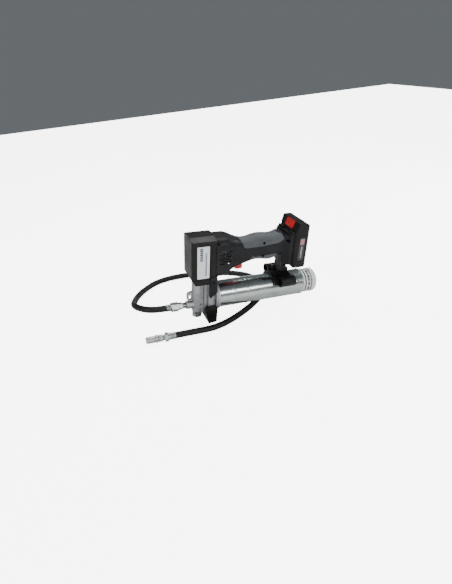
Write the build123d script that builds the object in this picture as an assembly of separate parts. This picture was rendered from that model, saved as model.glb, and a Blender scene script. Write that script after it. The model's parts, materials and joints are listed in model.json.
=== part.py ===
from build123d import *
from math import atan2, cos, degrees, hypot, pi, radians, sin, tan
import os

# A battery grease gun, in millimetres, as separate pieces.
# The pieces are drawn in the barrel's own frame: X runs rearward along the barrel, Y to the gun's
# right, Z up, and the origin is on the barrel's axis where the collar ends. Only place(), at the end,
# tips them back until the foot's sole and the cartridge's rear rim stand on the plane Z = 0, with
# the origin under the middle of the sole.

# ---- Driving sizes ---------------------------------------------------------------------------

# Clearances
running = 0.05          # a shaft in its bearing, on the radius
sliding = 0.3           # a part that slides past another one
seat_gap = 0.2          # between two parts that are screwed together
pocket_gap = 0.5        # round a part that lies in a pocket
press = 0.0             # a part pressed into its seat

# Barrel and cartridge
barrel_radius = 28.5
barrel_wall = 1.4
barrel_seat = 6.0       # length inside the collar
barrel_length = 198.0   # from the collar to the rear rim
bead_places = (34.0, 64.0)
bead_height = 0.7
bead_half_width = 2.2
cartridge_radius = 26.4
cartridge_wall = 1.2
cartridge_rear = 224.0
cartridge_neck_radius = 14.0
cartridge_neck_length = 13.0
cartridge_band_front = 203.0
end_cap_radius = 27.0
end_cap_flange = 5.0
end_cap_dome = 5.0
follower_thickness = 12.0

# Pump head
collar_radius = 31.0
collar_lip = 5.5
collar_rear_radius = 30.0
head_half_width = 21.8
head_back = -24.0       # where the wide block behind the pump begins
pump_place = -42.0      # the pump cylinder's upright axis
pump_boss_radius = 11.5
pump_bottom = -31.0
plunger_radius = 4.0
outlet_height = -16.0
outlet_front = -66.0
outlet_boss_radius = 8.75
outlet_bore = 6.0
valve_ball_radius = 3.0
flange_top = 48.0
flange_thickness = 5.5
plug_across_flats = 19.0
plug_height = 8.0
gland_radius = 6.5

# Standing foot
foot_drop = 55.7        # from the barrel's axis down to the sole, square to the axis
foot_front = -31.5
foot_sole_front = -23.0
foot_rear = -5.0
foot_half_width = 22.5
foot_cheek_half_width = 26.5

# Gearbox cover
cover_front = -62.0
cover_rear = -13.0
cover_half_width = 29.5
cover_bottom = 42.0
cover_shoulder = 133.6
cover_top = 139.0
cover_top_half_width = 15.0
cover_wall = 2.8
label_front = -51.0
label_rear = -26.3
label_bottom = 56.5
label_top = 124.0
label_thickness = 0.6
recess_depth = 1.0

# Housing
housing_wall = 2.6
housing_front = -12.5
motor_axis = 95.0
motor_radius = 19.0
motor_rear = 33.0
shaft_radius = 2.5
pad_thickness = 1.0
station_foot = 137.0
foot_plate_rear = 154.5
foot_plate_half_width = 31.0
foot_plate_bottom = 62.0
step_tops = ((146.0, 124.0), (150.0, 128.0), (154.5, 132.0))
leg_front = -23.5
leg_rear = -9.0
leg_inner = 22.0
leg_outer = 30.5
screw_radius = 1.5
screw_head_radius = 2.7
screw_boss_radius = 3.6
# Housing screws, place and height; the first one goes through the legs and the pump head
screw_places = ((-16.5, 44.5), (-8.6, 126.0), (93.0, 113.0), (93.0, 84.5), (144.0, 115.0))

# Gears
gear_module = 0.9
sun_teeth = 12
planet_teeth = 18
planet_count = 3
ring_radius = 26.0
gear_width = 9.0
crank_throw = 8.0

# Trigger
trigger_pivot_x = 31.0
trigger_pivot_z = 71.0
trigger_half_width = 6.0
trigger_pin_radius = 1.5

# Battery
pack_front = 155.0
pack_rear = 189.0
pack_half_width = 36.0
pack_bottom = 53.5
pack_top = 151.5
pack_wall = 2.2
pack_split = 170.0
cell_radius = 8.8
cell_length = 65.0
cell_count = 5
cell_place = 174.9
rail_half_width = 18.5
rail_neck_half_width = 13.5
rail_depth = 4.0
rail_neck_depth = 3.5
rail_bottom = 76.0
rail_top = 128.0
button_half_width = 15.0
button_half_height = 8.0
button_depth = 2.2
button_tilt = 19.0
button_travel = 2.5     # how far the release button goes in

# Hose bracket
strut_front = 141.0
strut_rear = 153.0
strut_half_width = 15.0
bracket_lug_half_width = 6.0
bracket_screw_place = (147.0, 55.0)
saddle_front = 122.0
saddle_rear = 158.0
saddle_gap = 1.5        # over the barrel, so that its beads pass under
saddle_thickness = 4.0
saddle_angle = 62.0
socket_side = 34.3
socket_height = 24.9
socket_radius = 11.3
socket_bore = 8.6
socket_front = 131.0
socket_length = 34.0
socket_floor = 3.0

# Hose and its fittings
hose_radius = 6.75
hose_bore = 3.2
hose_start = -108.0      # where the front ferrule ends, in the barrel's frame
ferrule_radius = 7.3
hex_across_flats = 17.0
thread_radius = 5.6
coupler_radius = 7.4
coupler_sleeve_radius = 7.9
# The hose's route on the standing plane, from the front ferrule to the rear one
hose_route = (
    (-88.7, 0.0, 50.45), (-109.5, 0.0, 52.9), (-134.5, 13.0, 53.0), (-152.5, 50.0, 45.0),
    (-141.5, 102.0, 27.0), (-117.5, 154.0, 12.0), (-71.5, 192.0, 6.75), (-17.5, 194.0, 6.75),
    (40.5, 179.0, 6.75), (95.5, 156.0, 6.75), (141.5, 118.0, 6.75), (153.5, 68.0, 6.75),
    (132.5, 24.0, 6.75), (94.5, -12.0, 6.75), (42.5, -38.0, 6.75), (-1.5, -50.5, 6.75),
    (-43.5, -48.3, 9.5), (-85.0, -42.0, 9.5),
)

# ---- Sizes that follow ---------------------------------------------------------------------------

barrel_inner = barrel_radius - barrel_wall
rest_place = cartridge_rear + end_cap_flange
foot_middle = (foot_sole_front + foot_rear) / 2
stance_slope = (foot_drop - end_cap_radius) / (rest_place - foot_middle)
stance_angle = degrees(atan2(foot_drop - end_cap_radius, rest_place - foot_middle))
axis_height = (foot_drop + foot_middle * stance_slope) * cos(radians(stance_angle))
sole_shift = foot_drop * sin(radians(stance_angle)) - foot_middle * cos(radians(stance_angle))
ring_teeth = sun_teeth + 2 * planet_teeth
planet_orbit = gear_module * (sun_teeth + planet_teeth) / 2


def place(shape):
    """Tip a piece from the barrel's frame into the standing frame."""
    return Pos(sole_shift, 0, axis_height) * Rot(0, stance_angle, 0) * shape


def sole_height(x):
    """Height of the standing plane under the barrel's axis at x, in the barrel's frame."""
    return -foot_drop + (x - foot_middle) * stance_slope


# ---- Plain shapes --------------------------------------------------------------------------------


def block(x0, x1, y0, y1, z0, z1):
    """Box between two corners, given in either order."""
    size = Box(abs(x1 - x0), abs(y1 - y0), abs(z1 - z0))
    return Pos((x0 + x1) / 2, (y0 + y1) / 2, (z0 + z1) / 2) * size


def bar(x0, x1, radius, y=0.0, z=0.0):
    """Round bar along X."""
    return Pos((x0 + x1) / 2, y, z) * Rot(0, 90, 0) * Cylinder(radius, x1 - x0)


def pin(y0, y1, radius, x, z):
    """Round bar along Y."""
    return Pos(x, (y0 + y1) / 2, z) * Rot(90, 0, 0) * Cylinder(radius, y1 - y0)


def post(z0, z1, radius, x, y=0.0):
    """Round bar along Z."""
    return Pos(x, y, (z0 + z1) / 2) * Cylinder(radius, z1 - z0)


def side_plate(points, y0, y1):
    """Outline in X and Z, as thick as from y0 to y1."""
    wire = Polyline([(x, y0, z) for x, z in points], close=True)
    return extrude(make_face(wire), amount=y1 - y0, dir=(0, 1, 0))


def plan_plate(points, z0, z1):
    """Outline in X and Y, as thick as from z0 to z1."""
    wire = Polyline([(x, y, z0) for x, y in points], close=True)
    return extrude(make_face(wire), amount=z1 - z0, dir=(0, 0, 1))


def cross_plate(points, x0, x1):
    """Outline in Y and Z, as thick as from x0 to x1."""
    wire = Polyline([(x0, y, z) for y, z in points], close=True)
    return extrude(make_face(wire), amount=x1 - x0, dir=(1, 0, 0))


def turned(points, y=0.0, z=0.0):
    """Outline in X and radius, turned about an axis along X."""
    wire = Polyline([(x, 0, radius) for x, radius in points], close=True)
    return Pos(0, y, z) * revolve(make_face(wire), Axis.X)


def hex_bar(x0, x1, across_flats, y=0.0, z=0.0):
    """Hexagon bar along X with a flat at the bottom."""
    corner = across_flats / 2 / cos(pi / 6)
    points = [(y + corner * cos(k * pi / 3), z + corner * sin(k * pi / 3)) for k in range(6)]
    return cross_plate(points, x0, x1)


def mirrored(shape):
    return mirror(shape, about=Plane.XZ)


# ---- Barrel and cartridge --------------------------------------------------------------------------


def barrel_tube():
    """Drawn steel tube with two rolled beads and a rolled rear rim."""
    rear = barrel_length
    outline = [(-barrel_seat, barrel_inner), (-barrel_seat, barrel_radius), (3.0, barrel_radius)]
    outline += [(3.4, barrel_radius - 0.35), (4.2, barrel_radius - 0.35), (4.6, barrel_radius)]
    for middle in bead_places:
        for step in range(7):
            turn = pi * step / 6
            outline.append((middle - bead_half_width * cos(turn), barrel_radius + bead_height * sin(turn)))
    outline += [(rear - 3.5, barrel_radius), (rear - 2.6, barrel_radius + 0.6)]
    outline += [(rear - 0.9, barrel_radius + 0.6), (rear, barrel_radius), (rear, barrel_inner)]
    return turned(outline)


def cartridge_front():
    return -barrel_seat + 1.5


def cartridge_shell():
    """Blow-moulded cartridge: a thin can with a shoulder and a threaded neck."""
    front = cartridge_front()
    neck = front - cartridge_neck_length
    outer = turned([
        (neck, 0), (neck, cartridge_neck_radius), (front, cartridge_neck_radius),
        (front, cartridge_radius - 6), (front + 3, cartridge_radius), (cartridge_rear, cartridge_radius),
        (cartridge_rear, 0),
    ])
    inside = cartridge_radius - cartridge_wall
    hollow = turned([
        (neck - 1, 0), (neck - 1, cartridge_neck_radius - 2.5), (front + 1, cartridge_neck_radius - 2.5),
        (front + 4, inside), (cartridge_rear + 1, inside), (cartridge_rear + 1, 0),
    ])
    groove_front = cartridge_band_front
    groove_rear = cartridge_rear - 2.5
    groove = bar(groove_front, groove_rear, cartridge_radius + 1) - bar(
        groove_front, groove_rear, cartridge_radius - 0.3)
    return outer - hollow - groove


def cartridge_band():
    """Printed paper band in a shallow groove round the cartridge's rear."""
    front = cartridge_band_front + 0.2
    rear = cartridge_rear - 2.7
    return bar(front, rear, cartridge_radius) - bar(front, rear, cartridge_radius - 0.3)


def cartridge_end_cap():
    """Pressed-in plastic end with a rim and a shallow dome."""
    flange = cartridge_rear + end_cap_flange
    inside = cartridge_radius - cartridge_wall
    return turned([
        (cartridge_rear - 6, inside - 1.5), (cartridge_rear - 6, inside), (cartridge_rear, inside),
        (cartridge_rear, end_cap_radius), (flange, end_cap_radius), (flange + 3, end_cap_radius - 2),
        (flange + end_cap_dome, end_cap_radius - 7), (flange + end_cap_dome, 0),
        (flange + end_cap_dome - 1.5, 0), (flange + end_cap_dome - 1.5, end_cap_radius - 8),
        (flange, inside - 1.5),
    ])


def follower():
    """Cup that follows the grease forward."""
    rear = cartridge_rear - 8
    radius = cartridge_radius - cartridge_wall - sliding
    return turned([
        (rear - follower_thickness, 0), (rear - follower_thickness, radius - 3),
        (rear - follower_thickness + 3, radius), (rear, radius), (rear, radius - 2),
        (rear - follower_thickness + 4, radius - 4), (rear - follower_thickness + 4, 0),
    ])


def barrel_gasket():
    front = -barrel_seat - 1.5
    return bar(front, -barrel_seat, barrel_radius - 0.2) - bar(front, -barrel_seat, cartridge_radius - 3)


# ---- Pump head -------------------------------------------------------------------------------------


def pump_head():
    """Aluminium casting: collar, block, pump boss, outlet boss, web and eyelet."""
    collar = bar(-collar_lip, 0, collar_radius) + bar(leg_rear + seat_gap, -collar_lip, collar_rear_radius)
    half = head_half_width
    wide = cross_plate([
        (-half, flange_top), (-half, -19.5), (-12, -27.5), (12, -27.5), (half, -19.5), (half, flange_top),
    ], head_back, leg_rear + 2 * seat_gap)
    narrow = block(-31, head_back, -15, 15, -30, flange_top)
    web = side_plate([
        (pump_place, 0), (-36, pump_bottom), (-30.3, pump_bottom), (-30.3, -39), (head_back, -38.7),
        (-15, -27.4), (-15, 0),
    ], -11, 11)
    boss = post(pump_bottom, flange_top, pump_boss_radius, pump_place)
    neck = block(pump_place, -30, -10, 10, pump_bottom, flange_top)
    outlet = bar(outlet_front, pump_place, outlet_boss_radius, z=outlet_height)
    flange_bottom = flange_top - flange_thickness
    flange = block(-51, head_back, -26, 26, flange_bottom, flange_top)
    body = collar + wide + narrow + web + boss + neck + outlet + flange + eyelet()
    body -= bar(-barrel_seat - 1.5, 1, barrel_radius + seat_gap)
    body -= bar(-barrel_seat - 4, -barrel_seat, cartridge_radius - 2.6)
    neck_front = cartridge_front() - cartridge_neck_length
    body -= bar(neck_front - 1, -barrel_seat, cartridge_neck_radius + sliding)
    body -= bar(pump_place, neck_front, 5, z=-3)
    body -= post(-12, flange_top + 1, plunger_radius + running, pump_place)
    body -= post(pump_bottom - 1, -11.9, 5, pump_place)
    body -= bar(outlet_front - 1, -58.8, outlet_bore, z=outlet_height)
    body -= bar(-58.9, -45, valve_ball_radius + running * 4, z=outlet_height)
    leg_screw = screw_places[0]
    body -= pin(-head_half_width - 1, head_half_width + 1, screw_radius + running, *leg_screw)
    body -= pin(-20, -9, 1.4, -37.5, -12.5)
    return body


def eyelet():
    """Cast hanging eye on the front of the pump boss."""
    front = -64.5
    outer = side_plate([
        (pump_place, -5), (-60, -5.5), (front + 1, -4), (front, 0), (front, 9), (front + 1.5, 12.5),
        (-60, 14), (-55, 15), (pump_place, 20),
    ], -3.5, 3.5)
    hole = block(-60.8, -55.2, -5, 5, -0.6, 5.2)
    hole += pin(-5, 5, 2.8, -58, -0.6) + pin(-5, 5, 2.8, -58, 5.2)
    return outer - hole


def pump_plug():
    """Hexagon plug with a round shoulder that closes the pump bore from below."""
    top = pump_bottom
    shoulder = post(top - 5.5, top, 10, pump_place)
    corner = plug_across_flats / 2 / cos(pi / 6)
    outline = [(pump_place + corner * cos(k * pi / 3), corner * sin(k * pi / 3)) for k in range(6)]
    head = plan_plate(outline, top - 5.5 - plug_height, top - 5.5)
    stem = post(top, top + 14, 5 - running, pump_place)
    return shoulder + head + stem


def valve_ball():
    return Pos(-51, 0, outlet_height) * Sphere(valve_ball_radius)


def coil(radius, wire, length, turns):
    """Open coil spring along Z, standing on Z = 0."""
    path = Helix(pitch=length / turns, height=length, radius=radius)
    section = Plane(origin=path @ 0, z_dir=path % 0) * Circle(wire)
    return sweep(section, path=path)


def valve_spring():
    spring = coil(2.3, 0.35, 2.9, 3)
    return Pos(-58.2, 0, outlet_height) * Rot(0, 90, 0) * spring


# ---- Outlet fittings -----------------------------------------------------------------------------


def outlet_adapter():
    """Threaded adapter from the head to the hose."""
    z = outlet_height
    body = bar(outlet_front, -59, outlet_bore - running, z=z)
    body += bar(-75, outlet_front, thread_radius, z=z)
    for k in range(4):
        x = -67.2 - k * 1.9
        body += bar(x - 0.9, x, thread_radius + 0.5, z=z)
    body += bar(-83.5, -75, 4.2, z=z)
    return body - bar(-84, -58, 2.4, z=z)


def adapter_nut():
    z = outlet_height
    nut = hex_bar(-83, -75.2, 13.5, z=z)
    return nut - bar(-84, -75, 4.2 + seat_gap, z=z)


def hose_nut():
    z = outlet_height
    nut = hex_bar(-98.5, -83.5, hex_across_flats, z=z)
    nut = nut + bar(-99.5, -98.5, 7, z=z)
    return nut - bar(-100, -83, 2.4, z=z)


def ferrule_front():
    z = outlet_height
    body = bar(hose_start, -99.5, ferrule_radius, z=z)
    for x in (-106.3, -104.3, -102.3):
        groove = bar(x - 0.5, x + 0.5, ferrule_radius + 1, z=z)
        body -= groove - bar(x - 0.6, x + 0.6, ferrule_radius - 0.4, z=z)
    return body - bar(hose_start - 1, -99, 2.4, z=z)


# ---- Hose and coupler, drawn on the standing plane --------------------------------------------------


def hose():
    """Hose as straight runs joined by tangent arcs, with an open bore."""
    points = [Vector(*point) for point in hose_route]
    radii = []
    for before, corner, after in zip(points, points[1:], points[2:]):
        half_turn = radians((corner - before).get_angle(after - corner)) / 2
        shorter = min((corner - before).length, (after - corner).length)
        radii.append(0.45 * shorter / tan(half_turn))
    path = FilletPolyline(*points, radius=radii)
    print("hose length", round(path.length, 1), "tightest bend", round(min(radii), 1))
    section = Plane(origin=path @ 0, z_dir=path % 0) * (Circle(hose_radius) - Circle(hose_bore))
    tube = sweep(section, path=path)
    wanted = path.length * pi * (hose_radius**2 - hose_bore**2)
    print("hose volume over section times length", round(tube.volume / wanted, 4))
    return tube


def at_hose_end(shape):
    """Put a piece drawn along -X from the origin on the hose's rear end, in the hose's direction."""
    before = Vector(*hose_route[-2])
    end = Vector(*hose_route[-1])
    heading = degrees(atan2(before.Y - end.Y, before.X - end.X))
    return Pos(*hose_route[-1]) * Rot(0, 0, heading) * shape


def ferrule_rear():
    body = bar(-16, 0, ferrule_radius)
    for x in (-3, -5.5, -8, -10.5):
        body -= bar(x - 0.5, x + 0.5, ferrule_radius + 1) - bar(x - 0.6, x + 0.6, ferrule_radius - 0.4)
    return body - bar(-17, 1, 2.4)


def coupler_nut():
    nut = hex_bar(-22.5, -16, hex_across_flats)
    nut += bar(-27, -22.5, 6)
    return nut - bar(-28, -15, 2.4)


def coupler_body():
    """Coupler body: a collar, a long barrel and the seal's seat."""
    return turned([
        (-27, 2.4), (-27, 6.8), (-29, coupler_radius), (-34, coupler_radius), (-35, 6.2), (-45, 6.2),
        (-45, 4.2), (-42, 4.2), (-42, 2.4),
    ])


def coupler_jaws():
    """Four hardened jaws in a circle, gripping a grease nipple."""
    ring = turned([
        (-60, 3.4), (-60, 4.6), (-57, 6.2), (-45.5, 6.2), (-45.5, 4.6), (-55, 4.6), (-57.5, 3.4),
    ])
    for k in range(2):
        ring -= Rot(k * 90, 0, 0) * block(-61, -45, -8, 8, -0.5, 0.5)
    return ring


def coupler_sleeve():
    """Knurled sleeve that screws over the jaws and sets their grip."""
    inside = 6.2 + sliding
    sleeve = turned([
        (-35.3, inside), (-35.3, coupler_sleeve_radius - 0.6), (-36, coupler_sleeve_radius),
        (-41, coupler_sleeve_radius), (-42, coupler_radius - 0.3), (-58, coupler_radius - 0.3),
        (-61, coupler_radius - 1.5), (-61, 5.2), (-60.2, 5.2), (-57.2, inside),
    ])
    for k in range(18):
        angle = k * 20
        sleeve -= Rot(angle, 0, 0) * block(-40.6, -36.4, -0.45, 0.45, coupler_sleeve_radius - 0.4, 9)
    return sleeve


# ---- Standing foot ------------------------------------------------------------------------------------


def foot():
    """Moulded foot that hugs the head from below and ends in a flat sole."""
    top = -13.0
    low_front = sole_height(foot_sole_front)
    low_rear = sole_height(foot_rear)
    outline = [
        (foot_front, -23.5), (-22.5, top), (foot_rear, top - 1.5), (foot_rear, low_rear),
        (foot_sole_front, low_front),
    ]
    full = side_plate(outline, -foot_cheek_half_width, foot_cheek_half_width)
    full = fillet(full.edges().filter_by(Axis.Y).group_by(Axis.X)[0], 1.5)
    taper = (foot_cheek_half_width - foot_half_width)
    for side in (-1, 1):
        wedge = cross_plate([
            (side * foot_cheek_half_width, -22), (side * (foot_cheek_half_width + 9), -22),
            (side * (foot_cheek_half_width + 9), -60), (side * (foot_cheek_half_width - taper), -60),
        ], foot_front - 1, foot_rear + 1)
        full -= wedge
    full -= bar(leg_rear, 1, collar_rear_radius + seat_gap)
    full -= bar(-collar_lip - 0.5, 1, collar_radius + 0.6)
    half = head_half_width + seat_gap
    full -= cross_plate([
        (-half, 10), (-half, -19.6), (-12, -27.7), (12, -27.7), (half, -19.6), (half, 10),
    ], head_back - seat_gap, leg_rear + seat_gap)
    full -= block(-40, head_back, -15.2, 15.2, -30.2, 0)
    full -= side_plate([
        (-40, 0), (-40, -39.2), (head_back, -38.9), (-14.6, -27.4), (-14.6, 0),
    ], -11.2, 11.2)
    full -= post(-60, -41.5, 3.2, -15)
    full -= post(-45, -20, 1.7, -15)
    for side in (-1, 1):
        full -= block(-21, -9, side * 16 - 5, side * 16 + 5, -49, -70)
    return full


def foot_screw():
    """Countersunk-bored screw that holds the foot to the head's web."""
    x = -15
    head = post(-44.5, -41.5, 2.9, x) - post(-45, -43, 1.3, x)
    return head + post(-41.5, -32, 1.5, x)


# ---- Gearbox cover --------------------------------------------------------------------------------------


def cover_outline(inset):
    half = cover_half_width - inset
    top_half = cover_top_half_width - inset / 3
    return [
        (-half, cover_bottom - 1), (half, cover_bottom - 1), (half, cover_shoulder - inset),
        (top_half, cover_top - inset), (-top_half, cover_top - inset), (-half, cover_shoulder - inset),
    ]


def gearbox_cover():
    """Deep moulded cover over the gears, open behind and below."""
    shell = cross_plate(cover_outline(0), cover_front, cover_rear)
    shell = fillet(shell.edges().filter_by(Axis.Z).group_by(Axis.X)[0], 5)
    shell = fillet(shell.edges().filter_by(Axis.X).group_by(Axis.Z)[-1], 3)
    inside = cross_plate(cover_outline(cover_wall), cover_front + cover_wall, cover_rear + 1)
    shell -= inside
    shell -= block(cover_front - 1, cover_rear + 1, -40, 40, cover_bottom - 5, cover_bottom)
    nose = [(cover_front - 1, cover_bottom - 1), (cover_front - 1, 55), (cover_front, 54), (-54, 41.5)]
    shell -= side_plate(nose, -40, 40)
    shelf = [(cover_front + 0.6, 54.5), (cover_front + 3.5, 56.5), (-54, 45), (-54, cover_bottom + 0.5)]
    shell += side_plate(shelf, -cover_half_width + 1, cover_half_width - 1)
    shell -= block(leg_front - 0.5, cover_rear + 1, -40, 40, cover_bottom - 1, 57.5)
    for side in (-1, 1):
        outer = side * cover_half_width
        floor = side * (cover_half_width - recess_depth)
        low, high = sorted((outer * 1.1, floor))
        shell -= block(-58.5, -23.8, low, high, 53, 127.5)
    return shell


def label_plate():
    """Printed aluminium label in the cover's near recess."""
    floor = -(cover_half_width - recess_depth)
    plate = block(label_front, label_rear, floor - label_thickness, floor, label_bottom, label_top)
    return fillet(plate.edges().filter_by(Axis.Y), 1.5)


# ---- Housing ----------------------------------------------------------------------------------------------

# Stations along the handle: place, middle height, half width, half height, corner radius
stations = (
    (housing_front, 93.0, 30.5, 40.5, 15.0),
    (12.0, 93.0, 30.5, 40.5, 15.0),
    (22.0, 96.8, 28.5, 34.5, 15.0),
    (34.0, 96.0, 23.5, 30.0, 13.0),
    (48.0, 95.0, 20.0, 26.6, 12.0),
    (66.0, 98.0, 19.6, 25.0, 13.0),
    (92.0, 100.3, 20.8, 26.3, 14.0),
    (122.0, 100.6, 20.8, 25.6, 14.0),
    (station_foot + 5, 99.5, 21.5, 26.0, 13.0),
)


def handle_form(inset):
    sections = []
    for place_x, middle, half_width, half_height, corner in stations:
        plane = Plane(origin=(place_x, 0, middle), x_dir=(0, 1, 0), z_dir=(1, 0, 0))
        width = 2 * (half_width - inset)
        height = 2 * (half_height - inset)
        sections.append(plane * RectangleRounded(width, height, corner - inset))
    front = loft(sections[:2], ruled=True)
    return front + loft(sections[1:])


def foot_plate():
    """Wide stepped end of the housing that carries the battery's rails."""
    half = foot_plate_half_width
    plan = [
        (station_foot, -19), (station_foot, 19), (147, half), (foot_plate_rear, half),
        (foot_plate_rear, -half), (147, -half),
    ]
    top = step_tops[-1][1]
    body = plan_plate(plan, foot_plate_bottom, top)
    body = fillet(body.edges().filter_by(Axis.Z).group_by(Axis.X)[0], 3)
    for end, height in step_tops[:-1]:
        body -= block(station_foot - 1, end, -half - 1, half + 1, height, top + 1)
    lug = block(142.5, 151.5, -bracket_lug_half_width, bracket_lug_half_width, 50.5, foot_plate_bottom + 1)
    return body + lug


def housing_openings():
    """Vents, screw holes, trigger slot and rail channel, as one cutting body."""
    cut = block(25.5, 57.5, -trigger_half_width - 0.6, trigger_half_width + 0.6, 40, 81)
    for row in range(6):
        height = 82 + row * 5.2
        shift = 3.5 if row % 2 else 0.0
        for start, end in ((-5.5, 4.5), (7.0, 15.5)):
            for side in (-1, 1):
                low, high = sorted((side * 24, side * 34))
                cut += block(start + shift, end + shift, low, high, height, height + 2.1)
    half = rail_half_width + pocket_gap
    neck = rail_neck_half_width + pocket_gap
    channel_front = foot_plate_rear - rail_neck_depth - rail_depth - pocket_gap
    neck_front = foot_plate_rear - rail_neck_depth + pocket_gap
    cut += block(channel_front, neck_front, -half, half, rail_bottom - 8, 140)
    cut += block(neck_front - 1, foot_plate_rear + 1, -neck, neck, rail_bottom - 8, 140)
    return cut


def screw_bosses():
    bosses = block(26.5, 35.5, -12, 12, trigger_pivot_z - 7, trigger_pivot_z + 4.5)
    for x, z in screw_places[1:]:
        bosses += pin(-32, 32, screw_boss_radius, x, z)
    return bosses


def screw_bores():
    bores = []
    for x, z in screw_places:
        seat = seat_depth(x, z)
        bores.append(pin(-34, -seat, screw_head_radius + seat_gap, x, z))
        bores.append(pin(-seat - 1, seat - 4, screw_radius + running, x, z))
    lug = bracket_lug_half_width + 1
    bores.append(pin(-lug, lug, screw_radius + running, *bracket_screw_place))
    half = trigger_half_width + 4
    bores.append(pin(-half, half, trigger_pin_radius + press, trigger_pivot_x, trigger_pivot_z))
    return bores


def seat_depth(x, z):
    """How far from the middle plane a screw's head sits."""
    if z < 50:
        return leg_outer - 2.8
    return 15.5 if x > 60 else 25.5


def leg():
    """Tongue of the housing that clasps the pump head's block, far side."""
    outline = [
        (leg_front, 9.5), (leg_rear, 21.0), (leg_rear, 60.0), (leg_front + 11.2, 60.0), (leg_front + 11.2, 57.0),
        (leg_front, 57.0),
    ]
    return side_plate(outline, leg_inner, leg_outer) - bar(leg_front - 1, leg_rear + 1, 26)


def housing(side):
    """One half of the housing: the near one carries the screws' heads."""
    outer = handle_skin + foot_plate()
    inner = handle_form(housing_wall)
    inner -= block(station_foot - 1, 200, -60, 60, 0, 200)
    inner += block(housing_front - 1, housing_front + 3, -26, 26, 56, 130)
    solid = outer - inner
    solid += screw_bosses() & outer
    solid -= bar(motor_front() - 0.2, motor_rear + 0.4, motor_radius + 0.4, z=motor_axis)
    solid -= housing_openings()
    solid -= pad_skin
    solid &= block(-80, 220, -80, 0, -80, 220)
    solid += mirrored(leg())
    if side > 0:
        solid = mirrored(solid)
    for bore in screw_bores():
        solid -= bore
    return solid


def motor_front():
    return -9.5


def housing_screws():
    """Screws that hold the two halves together."""
    screws = []
    for x, z in screw_places:
        seat = seat_depth(x, z)
        head = pin(-seat - 2, -seat, screw_head_radius, x, z) - pin(-seat - 3, -seat - 0.8, 1.3, x, z)
        screws.append(head + pin(-seat, seat - 4.5, screw_radius, x, z))
    return Compound(screws)


def pad_outline(upper):
    if upper:
        return [
            (41, 128.5), (50, 108), (56, 105.5), (92, 107), (126, 110.5), (137.5, 117.5), (134, 127),
            (120, 129), (80, 129),
        ]
    return [(70, 88.5), (74, 84.5), (122, 87.5), (126, 84), (124, 72), (66, 70), (62, 74)]


def grip_pad(upper):
    """Soft overmoulded skin on the near side of the grip."""
    pad = grip_skin & side_plate(pad_outline(upper), -40, -0.3)
    for x, z in screw_places[2:4]:
        pad -= pin(-40, 0, screw_head_radius + seat_gap, x, z)
    return pad


# ---- Trigger and switch ------------------------------------------------------------------------------------


def trigger():
    outline = [
        (27, 67), (27.5, 74), (31, 75.5), (38, 73.5), (53, 68), (54, 58.5), (53.3, 56), (41, 55.5), (34, 60),
    ]
    body = side_plate(outline, -trigger_half_width, trigger_half_width)
    body = fillet(body.edges().filter_by(Axis.Y).group_by(Axis.Z)[0], 1)
    return body - pin(-10, 10, trigger_pin_radius + running, trigger_pivot_x, trigger_pivot_z)


def trigger_pin():
    half = trigger_half_width + 4
    return pin(-half, half, trigger_pin_radius, trigger_pivot_x, trigger_pivot_z)


def trigger_spring():
    bottom = 75.5
    return Pos(45, 0, bottom) * coil(2.6, 0.4, switch_bottom() - bottom - 0.5, 4)


def switch_bottom():
    return 81.5


def switch_body():
    """Speed switch above the trigger, with its heat sink and leads' block."""
    low = switch_bottom()
    body = block(38, 62, -9, 9, low, low + 17)
    body += block(50, 56, -5, 5, low - 4.5, low)
    body += block(40, 60, 9, 11, low + 3, low + 14)
    return body


# ---- Motor and gears -----------------------------------------------------------------------------------------


def motor_can():
    """Drawn steel can with two end bearings' seats and cooling windows."""
    front = motor_front()
    can = bar(front, motor_rear, motor_radius, z=motor_axis)
    can -= bar(front + 1.2, motor_rear - 1.2, motor_radius - 1.2, z=motor_axis)
    can -= bar(front - 1, motor_rear + 1, 5.0 + press, z=motor_axis)
    window = block(-6, -1, -30, 30, motor_axis - 4, motor_axis + 4)
    window += block(24, 29, -30, 30, motor_axis - 4, motor_axis + 4)
    return can - window


def motor_bearings():
    rings = []
    for x in (motor_front(), motor_rear - 1.2):
        ring = bar(x, x + 1.2, 5.0, z=motor_axis) - bar(x - 1, x + 2, shaft_radius + running, z=motor_axis)
        rings.append(ring)
    return Compound(rings)


def rotor():
    """Shaft with its armature stack and commutator."""
    shaft = bar(gear_front(), motor_rear + 2, shaft_radius, z=motor_axis)
    stack = bar(1, 22, motor_radius - 4.5, z=motor_axis)
    for k in range(9):
        slot = block(0, 23, -1.1, 1.1, motor_radius - 9, motor_radius)
        stack -= Pos(0, 0, motor_axis) * Rot(k * 40, 0, 0) * slot
    commutator = bar(25, 29, 6.5, z=motor_axis)
    return shaft + stack + commutator


def motor_fan():
    hub = bar(-6.5, -1.5, 6, z=motor_axis)
    disc = bar(-2.3, -1.5, 15, z=motor_axis)
    fan = hub + disc
    for k in range(9):
        blade = block(-6, -2, -0.6, 0.6, 5.5, 14.5)
        fan += Pos(0, 0, motor_axis) * Rot(k * 40, 0, 0) * blade
    return fan - bar(-7, -1, shaft_radius, z=motor_axis)


def gear_outline(teeth, grow, inner_gap, outer_gap):
    """Points of a straight-flanked gear; grow widens the teeth at the pitch circle."""
    pitch = gear_module * teeth / 2
    root = pitch - gear_module * inner_gap
    tip = pitch + gear_module * outer_gap
    half = pi / (2 * teeth) * (1 + grow)
    slope = tan(radians(22))
    at_root = half + slope * (pitch - root) / pitch
    at_tip = half - slope * (tip - pitch) / pitch
    points = []
    for tooth in range(teeth):
        middle = 2 * pi * tooth / teeth
        for radius, angle in ((root, -at_root), (tip, -at_tip), (tip, at_tip), (root, at_root)):
            points.append((radius * cos(middle + angle), radius * sin(middle + angle)))
    return points


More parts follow.
